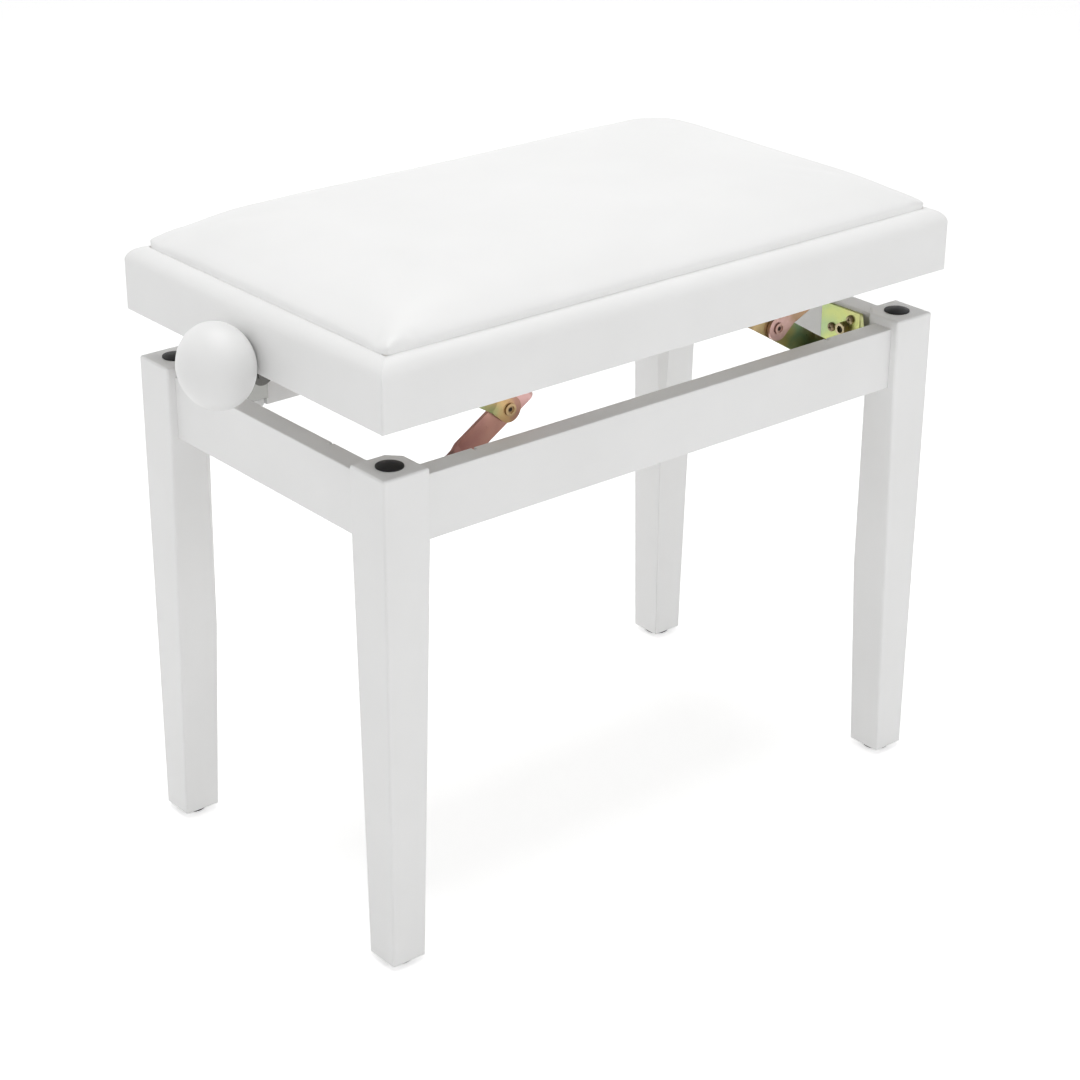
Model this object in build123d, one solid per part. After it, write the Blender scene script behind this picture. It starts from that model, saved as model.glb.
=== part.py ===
from build123d import *
import os
from math import atan2, cos, radians, sin

# A piano bench with a padded top that a screw spindle raises and lowers.
# A knob at each end turns the spindle. It draws two nut bars along, one with a left-hand
# and one with a right-hand thread, and the arms and links lift the top straight up.
# Millimetres, +Z up, +X along the spindle, -Y the front.
# The origin is on the floor under the middle of the bench.

# Top
seat_length = 555.0
seat_width = 325.0
rail_height = 50.0
rail_thickness = 24.0
rim_width = 14.0
rim_radius = 13.0
rail_foot_radius = 1.0
rail_corner_radius = 1.5
board_thickness = 12.0
board_clearance = 0.5
pad_height = 34.0
pad_edge_height = 4.0
pad_tuck = 2.0
pad_corner_radius = 9.0
pad_crown_corner_radius = 60.0
pad_squareness = 6.0
pad_steps = 8
block_leg = 38.0
block_height = 28.0
block_screw_in = 12.5

# Legs and aprons
end_setback = 4.4
side_setback = 6.0
leg_height = 392.2
leg_top_width = 40.0
leg_foot_width = 30.0
leg_edge_radius = 2.0
leg_corner_chamfer = 10.0
apron_height = 50.0
apron_thickness = 18.6
apron_setback = 6.4
apron_drop = 7.5
apron_edge_radius = 0.8

# Glides under the feet and bumpers on the leg tops
glide_height = 4.5
glide_radius = 11.5
glide_chamfer = 1.2
glide_pin_radius = 1.6
glide_pin_length = 12.0
bumper_radius = 10.2
bumper_height = 3.0
bumper_rim = 0.8
bumper_stem_radius = 4.0
bumper_stem_length = 10.0

# Corner brackets, pressed from sheet, with a lip in a saw kerf at each end
sheet = 2.5
bracket_height = 40.0
bracket_drop = 3.1
web_clearance = 6.5
short_flange_length = 41.0
long_flange_length = 43.5
lip_depth = 4.0
kerf_clearance = 0.3

# Wood screws
screw_radius = 2.0
screw_length = 10.0
screw_head_radius = 3.8
screw_head_height = 2.4
screw_head_chamfer = 1.2
near_screw_in = 10.9
far_screw_in = 31.3
upper_screw_drop = 7.4
middle_screw_drop = 19.3
lower_screw_drop = 32.6

# Studs in the end aprons, with a nut on each short flange
stud_radius = 3.0
stud_in_wood = 12.0
stud_in = 17.0
stud_drop = 16.1
stud_nut_across_flats = 10.0
stud_nut_height = 6.0
stud_short_of_nut = 2.0

# Hanger bolts that draw the legs into the corners
bolt_radius = 4.0
bolt_drop = 17.8
bolt_in_leg = 28.0
bolt_past_web = 22.0
nut_across_flats = 13.0
nut_height = 6.5
washer_radius = 8.5
washer_height = 1.6

# Lift: an arm turns on the base, and a link of half its length joins its middle to the top
arm_half_length = 61.3
rest_angle = 31.5
arm_pivot_setback = 61.1
arm_pivot_drop = 16.8
bar_width = 20.0
bar_thickness = 3.0
bar_bend_radius = 4.0
arm_foot_flat = 7.0
arm_foot_bend = 6.6
arm_foot_set_out = 2.4
arm_top_flat = 33.3
arm_crank_length = 7.0
arm_crank = 12.0
link_width = 15.4
link_taper_length = 14.0
link_bend_length = 22.0
link_set_over = 3.4
link_standoff = 9.5
side_gap = 0.4
pin_radius = 3.5
pin_head_radius = 4.8
pin_head_height = 0.9
pin_dimple_radius = 2.9
pin_dimple_depth = 1.6
running_clearance = 0.05
pivot_collar_radius = 6.0
pivot_tail_radius = 3.0
spacer_tube_radius = 6.5
nut_bar_radius = 7.0
nut_hub_radius = 13.0
nut_hub_length = 26.0
nut_rise = 5.0
clip_radius = 7.0
clip_thickness = 1.5
clip_land = 1.0

# Brackets that hang the links from the top
ear_plate_width = 36.0
ear_flange_depth = 22.0
ear_screw_spacing = 20.0

# Spindle, its bearing plates and its knobs
spindle_radius = 6.0
spindle_end_radius = 5.0
spindle_rise = 8.2
spindle_end_play = 0.3
notch_clearance = 2.0
bearing_nose_radius = 11.0
bearing_tab_width = 56.0
bearing_tab_height = 18.0
bearing_screw_spacing = 40.0
collar_radius = 10.0
collar_length = 8.0
grub_radius = 2.0
knob_radius = 32.0
knob_half_thickness = 27.7
knob_rim_radius = 24.0
knob_standoff = 25.2
knob_gap = 1.5
knob_bore_depth = 30.0

# Heights above the floor
leg_top = glide_height + leg_height
apron_top = leg_top - apron_drop
apron_bottom = apron_top - apron_height
bracket_top = apron_top - bracket_drop
bracket_bottom = bracket_top - bracket_height
bolt_z = bracket_top - bolt_drop
arm_rise = arm_half_length * sin(radians(rest_angle))
arm_pivot_z = apron_top - arm_pivot_drop
middle_pivot_z = arm_pivot_z + arm_rise
top_pivot_z = middle_pivot_z + arm_rise
spindle_z = top_pivot_z + nut_rise
seat_bottom = spindle_z - spindle_rise
rim_top = seat_bottom + rail_height
board_bottom = rim_top - board_thickness

# Distances out from the middle along X and Y
half_seat_x = seat_length / 2
half_seat_y = seat_width / 2
rail_inner_x = half_seat_x - rail_thickness
rail_inner_y = half_seat_y - rail_thickness
board_edge_x = half_seat_x - rim_width - board_clearance
board_edge_y = half_seat_y - rim_width - board_clearance
leg_face_x = half_seat_x - end_setback
leg_face_y = half_seat_y - side_setback
leg_inner_x = leg_face_x - leg_top_width
leg_inner_y = leg_face_y - leg_top_width
leg_middle_x = leg_face_x - leg_top_width / 2
leg_middle_y = leg_face_y - leg_top_width / 2
foot_middle_x = leg_face_x - leg_foot_width / 2
foot_middle_y = leg_face_y - leg_foot_width / 2
apron_outer_x = leg_face_x - apron_setback
apron_outer_y = leg_face_y - apron_setback
apron_inner_x = apron_outer_x - apron_thickness
apron_inner_y = apron_outer_y - apron_thickness
leg_reach = leg_top_width - apron_setback - apron_thickness
web_setback = 2 * leg_reach - leg_corner_chamfer + web_clearance
web_x = apron_inner_x - web_setback
web_y = apron_inner_y - web_setback
kerf_x = web_x - long_flange_length
kerf_y = web_y - short_flange_length
arm_run = arm_half_length * cos(radians(rest_angle))
arm_pivot_x = apron_inner_x - arm_pivot_setback
middle_pivot_x = arm_pivot_x - arm_run
nut_pivot_x = middle_pivot_x - arm_run

# Layers of the lift, out from the middle along Y
flange_face_y = apron_inner_y - sheet
link_outer_y = apron_inner_y - link_standoff
link_inner_y = link_outer_y - bar_thickness
link_top_y = link_inner_y + link_set_over
arm_outer_y = link_inner_y - side_gap
arm_inner_y = arm_outer_y - bar_thickness
arm_foot_y = arm_inner_y + arm_foot_set_out
arm_top_y = arm_inner_y - arm_crank
ear_outer_y = link_top_y - side_gap
ear_inner_y = ear_outer_y - sheet

# Running fits
pin_hole_radius = pin_radius + running_clearance
screw_hole_radius = screw_radius + running_clearance
bearing_hole_radius = spindle_end_radius + running_clearance
spindle_bore_radius = spindle_radius + running_clearance

os.makedirs("parts", exist_ok=True)
corners = [(side_x, side_y) for side_y in (-1, 1) for side_x in (-1, 1)]
name_x = {-1: "left", 1: "right"}
name_y = {-1: "front", 1: "back"}


def save(shape, node):
    export_step(shape, f"parts/{node}.step")


def to_side(shape, side_x, side_y):
    """Mirror a shape made in the back right quarter to the side that the signs give."""
    if side_x < 0:
        shape = mirror(shape, about=Plane.YZ)
    if side_y < 0:
        shape = mirror(shape, about=Plane.XZ)
    return shape


def group(shapes):
    """Separate solids kept together as one node."""
    return Compound(children=[solid for shape in shapes for solid in shape.solids()])


def save_corner_group(shapes, node):
    save(group([to_side(shape, *corner) for shape in shapes for corner in corners]), node)


def save_corner_pieces(shape, stem):
    for side_x, side_y in corners:
        save(to_side(shape, side_x, side_y), f"{stem}_{name_y[side_y]}_{name_x[side_x]}")


def block(x_range, y_range, z_range):
    """A box between two values on each axis."""
    ranges = (x_range, y_range, z_range)
    size = [high - low for low, high in ranges]
    middle = [(high + low) / 2 for low, high in ranges]
    return Pos(*middle) * Box(*size)


def plate_xz(outline, y_low, y_high):
    """An outline drawn in X and Z, given its thickness along Y."""
    face_plane = Plane((0, y_low, 0), x_dir=(1, 0, 0), z_dir=(0, -1, 0))
    return extrude(face_plane * outline, amount=y_low - y_high)


def plate_yz(outline, x_low, x_high):
    """An outline drawn in Y and Z, given its thickness along X."""
    face_plane = Plane((x_low, 0, 0), x_dir=(0, 1, 0), z_dir=(1, 0, 0))
    return extrude(face_plane * outline, amount=x_high - x_low)


def rod_y(x, z, radius, y_low, y_high):
    return plate_xz(Pos(x, z) * Circle(radius), y_low, y_high)


def rod_x(z, radius, x_low, x_high):
    return plate_yz(Pos(0, z) * Circle(radius), x_low, x_high)


def rod_along(origin, direction, radius, length):
    return extrude(Plane(origin, z_dir=direction) * Circle(radius), amount=length)


def wood_screw(origin, outward, grip):
    """A pan-head screw whose head stands at origin and whose shank crosses the grip first."""
    head = extrude(Circle(screw_head_radius), amount=screw_head_height)
    head = chamfer(head.edges().group_by(Axis.Z)[-1], screw_head_chamfer)
    shank = extrude(Circle(screw_radius), amount=-(grip + screw_length))
    return Plane(origin, z_dir=outward) * (head + shank)


def screw_hole(origin, outward, grip):
    inward = [-part for part in outward]
    return rod_along(origin, inward, screw_hole_radius, grip + screw_length + side_gap)


# Places shared by the corner pieces, in the back right quarter
to_middle_x = (-1, 0, 0)
to_middle_y = (0, -1, 0)
down = (0, 0, -1)
short_flange_screws = [
    (apron_inner_x - sheet, web_y - near_screw_in, bracket_top - upper_screw_drop),
    (apron_inner_x - sheet, web_y - far_screw_in, bracket_top - middle_screw_drop),
]
long_flange_screws = [
    (web_x - near_screw_in, flange_face_y, bracket_top - upper_screw_drop),
    (web_x - near_screw_in, flange_face_y, bracket_top - lower_screw_drop),
]
stud_place = (apron_inner_x - sheet, web_y - stud_in, bracket_top - stud_drop)
web_face = Vector((apron_inner_x + web_x) / 2, (apron_inner_y + web_y) / 2, bolt_z)
bolt_inward = Vector(-1, -1, 0).normalized()
leg_cut_corner = Vector(leg_inner_x + leg_corner_chamfer / 2, leg_inner_y + leg_corner_chamfer / 2, bolt_z)
bolt_start = leg_cut_corner - bolt_inward * bolt_in_leg
bolt_end = web_face + bolt_inward * (sheet + bolt_past_web)
bolt_length = (bolt_end - bolt_start).length


# Legs: square at the top, tapered on the two inner faces below the aprons
def leg_outline(face, inner, foot_inner):
    return make_face(
        Polyline(
            (face, glide_height),
            (face, leg_top),
            (inner, leg_top),
            (inner, apron_bottom),
            (foot_inner, glide_height),
            close=True,
        )
    )


leg_along_x = plate_xz(
    leg_outline(leg_face_x, leg_inner_x, leg_face_x - leg_foot_width), leg_inner_y, leg_face_y
)
leg_along_y = plate_yz(
    leg_outline(leg_face_y, leg_inner_y, leg_face_y - leg_foot_width), leg_inner_x, leg_face_x
)
leg = leg_along_x & leg_along_y
leg_cut_plan = make_face(
    Polyline(
        (leg_inner_x, leg_inner_y),
        (leg_inner_x + leg_corner_chamfer, leg_inner_y),
        (leg_inner_x, leg_inner_y + leg_corner_chamfer),
        close=True,
    )
)
leg -= extrude(Pos(0, 0, glide_height) * leg_cut_plan, amount=leg_height)


def along_outer_face(edge):
    """True for the edges that run down the two outer faces."""
    ends = edge.vertices()
    on_end_face = all(abs(end.X - leg_face_x) < running_clearance for end in ends)
    on_side_face = all(abs(end.Y - leg_face_y) < running_clearance for end in ends)
    return (on_end_face or on_side_face) and abs(ends[0].Z - ends[1].Z) > leg_edge_radius


leg = fillet(leg.edges().filter_by(along_outer_face) + leg.edges().group_by(Axis.Z)[-1], leg_edge_radius)
leg -= rod_along(bolt_start, bolt_inward, bolt_radius + running_clearance, bolt_length)
leg -= rod_along(
    (leg_middle_x, leg_middle_y, leg_top), down, bumper_stem_radius + running_clearance,
    bumper_stem_length + side_gap,
)
leg -= rod_along(
    (foot_middle_x, foot_middle_y, glide_height + glide_pin_length + side_gap), down,
    glide_pin_radius + running_clearance, glide_pin_length + side_gap,
)
save_corner_pieces(leg, "leg")

# Bumpers: rubber domes on the leg tops that the seat comes down on
dome_rise = bumper_height - bumper_rim
dome_radius = (bumper_radius**2 + dome_rise**2) / (2 * dome_rise)
bumper = extrude(Circle(bumper_radius), amount=bumper_height)
bumper &= Pos(0, 0, bumper_height - dome_radius) * Sphere(dome_radius)
bumper = Pos(leg_middle_x, leg_middle_y, leg_top) * bumper
bumper += rod_along(
    (leg_middle_x, leg_middle_y, leg_top), down, bumper_stem_radius, bumper_stem_length
)
save_corner_group([bumper], "leg_bumpers")

# Glides: hard discs with a pin, driven into the feet
glide = extrude(Circle(glide_radius), amount=glide_height)
glide = chamfer(glide.edges().group_by(Axis.Z)[0], glide_chamfer)
glide = Pos(foot_middle_x, foot_middle_y) * glide
glide += rod_along(
    (foot_middle_x, foot_middle_y, glide_height), (0, 0, 1), glide_pin_radius, glide_pin_length
)
save_corner_group([glide], "foot_glides")

# Aprons: boards between the legs, kerfed inside for the lips of the corner brackets
kerf_width = sheet + 2 * kerf_clearance
kerf_depth = lip_depth + kerf_clearance


def eased(board, axis):
    return fillet(board.edges().filter_by(axis), apron_edge_radius)


apron_z = (apron_bottom, apron_top)
end_apron = eased(block((apron_inner_x, apron_outer_x), (-leg_inner_y, leg_inner_y), apron_z), Axis.Y)
side_apron = eased(block((-leg_inner_x, leg_inner_x), (apron_inner_y, apron_outer_y), apron_z), Axis.X)
end_kerf = block(
    (apron_inner_x - kerf_clearance, apron_inner_x + kerf_depth),
    (kerf_y - kerf_width + kerf_clearance, kerf_y + kerf_clearance), apron_z,
)
side_kerf = block(
    (kerf_x - kerf_width + kerf_clearance, kerf_x + kerf_clearance),
    (apron_inner_y - kerf_clearance, apron_inner_y + kerf_depth), apron_z,
)
end_cuts = [end_kerf] + [screw_hole(place, to_middle_x, sheet) for place in short_flange_screws]
end_cuts.append(
    rod_along(stud_place, (1, 0, 0), stud_radius + running_clearance, sheet + stud_in_wood + side_gap)
)
side_cuts = [side_kerf] + [screw_hole(place, to_middle_y, sheet) for place in long_flange_screws]
for cut in end_cuts:
    end_apron -= [cut, to_side(cut, 1, -1)]
for cut in side_cuts:
    side_apron -= [cut, to_side(cut, -1, 1)]
save(to_side(end_apron, -1, 1), "apron_left")
save(end_apron, "apron_right")
save(to_side(side_apron, 1, -1), "apron_front")
save(side_apron, "apron_back")

# Corner brackets: lip, short flange, diagonal web, long flange and lip in one strip
bracket_line = Polyline(
    (apron_inner_x + lip_depth, kerf_y),
    (apron_inner_x, kerf_y),
    (apron_inner_x, web_y),
    (web_x, apron_inner_y),
    (kerf_x, apron_inner_y),
    (kerf_x, apron_inner_y + lip_depth),
)
bracket_outline = make_face(offset(bracket_line, sheet, kind=Kind.INTERSECTION, side=Side.LEFT))
bracket = extrude(Pos(0, 0, bracket_bottom) * bracket_outline, amount=bracket_height)
for place in short_flange_screws:
    bracket -= screw_hole(place, to_middle_x, sheet)
for place in long_flange_screws:
    bracket -= screw_hole(place, to_middle_y, sheet)
bracket -= rod_along(bolt_start, bolt_inward, bolt_radius + running_clearance, bolt_length)
bracket -= rod_y(
    arm_pivot_x, arm_pivot_z, pivot_tail_radius + running_clearance, flange_face_y, apron_inner_y
)
bracket -= rod_along(stud_place, (1, 0, 0), stud_radius + running_clearance, sheet)
save_corner_pieces(bracket, "corner_bracket")
bracket_screws = [wood_screw(place, to_middle_x, sheet) for place in short_flange_screws]
bracket_screws += [wood_screw(place, to_middle_y, sheet) for place in long_flange_screws]
save_corner_group(bracket_screws, "bracket_screws")

# Studs turned into the end aprons, and their nuts on the short flanges
stud_start = Vector(*stud_place) + Vector(sheet + stud_in_wood, 0, 0)
stud_length = stud_in_wood + sheet + stud_nut_height - stud_short_of_nut
save_corner_group([rod_along(stud_start, to_middle_x, stud_radius, stud_length)], "bracket_studs")
stud_nut_face = RegularPolygon(stud_nut_across_flats / 2, 6, major_radius=False)
stud_nut = extrude(
    Plane(stud_place, x_dir=(0, 0, 1), z_dir=to_middle_x)
    * (stud_nut_face - Circle(stud_radius + running_clearance)),
    amount=stud_nut_height,
)
save_corner_group([stud_nut], "bracket_stud_nuts")

# Hanger bolts, their washers and their nuts
washer_start = web_face + bolt_inward * sheet
nut_start = washer_start + bolt_inward * washer_height
hanger_bolt = rod_along(bolt_start, bolt_inward, bolt_radius, bolt_length)
save_corner_group([hanger_bolt], "hanger_bolts")
washer = extrude(
    Plane(washer_start, z_dir=bolt_inward)
    * (Circle(washer_radius) - Circle(bolt_radius + running_clearance)),
    amount=washer_height,
)
save_corner_group([washer], "hanger_bolt_washers")
nut_face = RegularPolygon(nut_across_flats / 2, 6, major_radius=False)
nut = extrude(
    Plane(nut_start, x_dir=(0, 0, 1), z_dir=bolt_inward)
    * (nut_face - Circle(bolt_radius + running_clearance)),
    amount=nut_height,
)
save_corner_group([nut], "hanger_bolt_nuts")

# Arm pivot studs: riveted in the long flanges, with a collar that holds the arm's foot off
collar_end_y = arm_foot_y + bar_thickness + side_gap
head_start_y = arm_foot_y - side_gap
arm_stud = rod_y(
    arm_pivot_x, arm_pivot_z, pivot_tail_radius, flange_face_y, apron_inner_y - kerf_clearance
)
arm_stud += rod_y(arm_pivot_x, arm_pivot_z, pivot_collar_radius, collar_end_y, flange_face_y)
arm_stud += rod_y(arm_pivot_x, arm_pivot_z, pin_radius, head_start_y, collar_end_y)
arm_stud += rod_y(
    arm_pivot_x, arm_pivot_z, pin_head_radius, head_start_y - pin_head_height, head_start_y
)
save_corner_group([arm_stud], "arm_pivot_studs")


# Bars of the lift: flat strip, round at the ends, bent twice where it passes to another layer
def bar_outline(start, end, width):
    along = Vector(*end) - Vector(*start)
    middle = (Vector(*start) + Vector(*end)) / 2
    angle = along.get_signed_angle(Vector(1, 0, 0), Vector(0, 0, -1))
    return Pos(middle.X, middle.Y) * Rot(0, 0, angle) * SlotCenterToCenter(along.length, width)


def bent_bar(outline, start, end, stations):
    """Give an outline its thickness; each station is a distance past start and the inner face there."""
    along = Vector(end[0] - start[0], 0, end[1] - start[1]).normalized()
    side_plane = Plane((start[0], 0, start[1]), x_dir=along, z_dir=along.cross(Vector(0, 1, 0)))
    inner_face = FilletPolyline(*stations, radius=bar_bend_radius)
    profile = make_face(offset(inner_face, amount=bar_thickness, side=Side.LEFT))
    layers = [y for distance, y in stations]
    plate = plate_xz(outline, min(layers), max(layers) + bar_thickness)
    return plate & extrude(side_plane * profile, amount=bar_width, both=True)


arm_pivot = (arm_pivot_x, arm_pivot_z)
middle_pivot = (middle_pivot_x, middle_pivot_z)
nut_pivot = (nut_pivot_x, top_pivot_z)
link_pivot = (arm_pivot_x, top_pivot_z)
arm_shape = bar_outline(arm_pivot, nut_pivot, bar_width)
for pivot in (arm_pivot, middle_pivot, nut_pivot):
    arm_shape -= Pos(*pivot) * Circle(pin_hole_radius)
arm_length = 2 * arm_half_length
arm = bent_bar(
    arm_shape, arm_pivot, nut_pivot,
    [
        (-bar_width, arm_foot_y),
        (arm_foot_flat, arm_foot_y),
        (arm_foot_flat + arm_foot_bend, arm_inner_y),
        (arm_length - arm_top_flat - arm_crank_length, arm_inner_y),
        (arm_length - arm_top_flat, arm_top_y),
        (arm_length + bar_width, arm_top_y),
    ],
)
link_direction = (Vector(*link_pivot) - Vector(*middle_pivot)).normalized()
taper_end = Vector(*middle_pivot) + link_direction * link_taper_length
link_eye = Pos(*middle_pivot) * Circle(bar_width / 2)
link_neck = Pos(taper_end.X, taper_end.Y) * Circle(link_width / 2)
link_shape = bar_outline(middle_pivot, link_pivot, link_width)
link_shape += make_hull(link_eye.edges() + link_neck.edges())
for pivot in (middle_pivot, link_pivot):
    link_shape -= Pos(*pivot) * Circle(pin_hole_radius)
link = bent_bar(
    link_shape, middle_pivot, link_pivot,
    [
        (-bar_width, link_inner_y),
        (link_taper_length, link_inner_y),
        (link_taper_length + link_bend_length, link_top_y),
        (arm_half_length + bar_width, link_top_y),
    ],
)
for side_x, side_y in corners:
    save(to_side(arm, side_x, side_y), f"{name_x[side_x]}_arm_{name_y[side_y]}")
    save(to_side(link, side_x, side_y), f"{name_x[side_x]}_link_{name_y[side_y]}")

# Cross shafts through the middle pivots, headed over at both ends, in spacer tubes
shaft_end_y = link_outer_y + side_gap
shaft_head = rod_y(
    middle_pivot_x, middle_pivot_z, pin_head_radius, shaft_end_y, shaft_end_y + pin_head_height
)
shaft_head -= rod_y(
    middle_pivot_x, middle_pivot_z, pin_dimple_radius,
    shaft_end_y + pin_head_height - pin_dimple_depth, shaft_end_y + pin_head_height,
)
cross_shaft = rod_y(middle_pivot_x, middle_pivot_z, pin_radius, -shaft_end_y, shaft_end_y)
cross_shaft += [shaft_head, to_side(shaft_head, 1, -1)]
spacer_tube = rod_y(middle_pivot_x, middle_pivot_z, spacer_tube_radius, -arm_inner_y, arm_inner_y)
spacer_tube -= rod_y(middle_pivot_x, middle_pivot_z, pin_hole_radius, -arm_inner_y, arm_inner_y)

# Nut bars: a threaded hub on the spindle, and below it a bar with a journal in the arm at each end
bar_end_y = arm_top_y - side_gap
clip_start_y = arm_top_y + bar_thickness + side_gap
journal_end_y = clip_start_y + clip_thickness + clip_land
nut_bar = rod_y(*nut_pivot, nut_bar_radius, -bar_end_y, bar_end_y)
nut_bar += rod_y(*nut_pivot, pin_radius, -journal_end_y, journal_end_y)
hub_ends_x = (nut_pivot_x - nut_hub_length / 2, nut_pivot_x + nut_hub_length / 2)
nut_bar += rod_x(spindle_z, nut_hub_radius, *hub_ends_x)
nut_bar -= rod_x(spindle_z, spindle_bore_radius, *hub_ends_x)
clip = rod_y(*nut_pivot, clip_radius, clip_start_y, clip_start_y + clip_thickness)
clip -= rod_y(*nut_pivot, pin_hole_radius, clip_start_y, clip_start_y + clip_thickness)
for side_x in (-1, 1):
    save(to_side(cross_shaft, side_x, 1), f"{name_x[side_x]}_cross_shaft")
    save(to_side(spacer_tube, side_x, 1), f"{name_x[side_x]}_spacer_tube")
    save(to_side(nut_bar, side_x, 1), f"{name_x[side_x]}_nut_bar")
    clips = [to_side(clip, side_x, side_y) for side_y in (-1, 1)]
    save(group(clips), f"{name_x[side_x]}_nut_bar_clips")

# Link brackets: screwed up into the board, with an ear that the link turns on
flange_inner_y = ear_outer_y - ear_flange_depth
ear_screw_y = (flange_inner_y + ear_inner_y) / 2
ear_screws = [
    (arm_pivot_x + step * ear_screw_spacing / 2, ear_screw_y, board_bottom - sheet) for step in (-1, 1)
]
ear_outline = make_face(
    Polyline(
        (arm_pivot_x - bar_width / 2, top_pivot_z),
        (arm_pivot_x - ear_plate_width / 2, board_bottom),
        (arm_pivot_x + ear_plate_width / 2, board_bottom),
        (arm_pivot_x + bar_width / 2, top_pivot_z),
        close=True,
    )
)
ear_outline += Pos(*link_pivot) * Circle(bar_width / 2)
ear_outline -= Pos(*link_pivot) * Circle(pin_hole_radius)
link_bracket = plate_xz(ear_outline, ear_inner_y, ear_outer_y)
link_bracket += block(
    (arm_pivot_x - ear_plate_width / 2, arm_pivot_x + ear_plate_width / 2),
    (flange_inner_y, ear_outer_y), (board_bottom - sheet, board_bottom),
)
for place in ear_screws:
    link_bracket -= screw_hole(place, down, sheet)
save_corner_pieces(link_bracket, "link_bracket")
save_corner_group([wood_screw(place, down, sheet) for place in ear_screws], "link_bracket_screws")
rivet_end_y = link_top_y + bar_thickness + side_gap
rivet = rod_y(*link_pivot, pin_radius, ear_inner_y, rivet_end_y)
rivet += rod_y(*link_pivot, pin_head_radius, rivet_end_y, rivet_end_y + pin_head_height)
rivet += rod_y(*link_pivot, pin_head_radius, ear_inner_y - pin_head_height, ear_inner_y)
save_corner_group([rivet], "link_pivot_rivets")

# Seat rails: mitred, rounded outside at the top, rebated inside for the board
rail_section = Pos(rail_thickness / 2, rail_height / 2) * Rectangle(rail_thickness, rail_height)
rebate_width = rail_thickness - rim_width
rail_section -= Pos(
    rail_thickness - rebate_width / 2, rail_height - board_thickness / 2
) * Rectangle(rebate_width, board_thickness)
outer_corners = rail_section.vertices().group_by(Axis.X)[0].sort_by(Axis.Y)
rail_section = fillet(outer_corners[1], rim_radius)
outer_foot = rail_section.vertices().sort_by(lambda point: point.X + point.Y)[0]
rail_section = fillet(outer_foot, rail_foot_radius)


def mitred_rail(length, half_depth):
    """A rail along X whose outer face is half_depth behind the middle."""
    section_plane = Plane((-length / 2, half_depth, seat_bottom), x_dir=(0, -1, 0), z_dir=(-1, 0, 0))
    bar = extrude(section_plane * rail_section, amount=-length)
    plan = make_face(
        Polyline(
            (-length / 2, half_depth),
            (length / 2, half_depth),
            (length / 2 - rail_thickness, half_depth - rail_thickness),
            (-length / 2 + rail_thickness, half_depth - rail_thickness),
            close=True,
        )
    )
    plan &= RectangleRounded(length, 2 * half_depth, rail_corner_radius)
    return bar & extrude(Pos(0, 0, seat_bottom) * plan, amount=rail_height)


side_rail = mitred_rail(seat_length, half_seat_y)
end_rail = Rot(0, 0, -90) * mitred_rail(seat_width, half_seat_x)
notch_radius = spindle_end_radius + notch_clearance
end_rail -= rod_x(spindle_z, notch_radius, rail_inner_x, half_seat_x)
end_rail -= block((rail_inner_x, half_seat_x), (-notch_radius, notch_radius), (seat_bottom, spindle_z))

# Bearing plates on the end rails, with a round nose under the rail
tab_middle = board_bottom - side_gap - bearing_tab_height / 2
neck_height = tab_middle - spindle_z
bearing_face_x = rail_inner_x - sheet
bearing_screws = [
    (bearing_face_x, step * bearing_screw_spacing / 2, tab_middle) for step in (-1, 1)
]
nose = Pos(0, spindle_z) * Circle(bearing_nose_radius)
neck = Pos(0, spindle_z + neck_height / 2) * Rectangle(2 * bearing_nose_radius, neck_height)
tab = Pos(0, tab_middle) * Rectangle(bearing_tab_width, bearing_tab_height)
bearing = plate_yz(nose + neck + tab, bearing_face_x, rail_inner_x)
bearing -= rod_x(spindle_z, bearing_hole_radius, bearing_face_x, rail_inner_x)
for place in bearing_screws:
    bearing -= screw_hole(place, to_middle_x, sheet)
    end_rail -= screw_hole(place, to_middle_x, sheet)
bearing_screw_set = [wood_screw(place, to_middle_x, sheet) for place in bearing_screws]
save(
    group([to_side(one, side_x, 1) for one in bearing_screw_set for side_x in (-1, 1)]),
    "spindle_bearing_screws",
)
for side_x in (-1, 1):
    save(to_side(bearing, side_x, 1), f"spindle_bearing_{name_x[side_x]}")
    save(to_side(end_rail, side_x, 1), f"seat_rail_{name_x[side_x]}")
for side_y in (-1, 1):
    save(to_side(side_rail, 1, side_y), f"seat_rail_{name_y[side_y]}")

# Corner blocks glued in the seat frame, each with a screw up into the board
block_bottom = board_bottom - block_height
block_plan = make_face(
    Polyline(
        (rail_inner_x, rail_inner_y),
        (rail_inner_x - block_leg, rail_inner_y),
        (rail_inner_x, rail_inner_y - block_leg),
        close=True,
    )
)
block_screw = (rail_inner_x - block_screw_in, rail_inner_y - block_screw_in, block_bottom)
corner_block = extrude(Pos(0, 0, block_bottom) * block_plan, amount=block_height)
corner_block -= screw_hole(block_screw, down, block_height)
save_corner_group([corner_block], "seat_corner_blocks")
save_corner_group([wood_screw(block_screw, down, block_height)], "seat_block_screws")

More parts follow.
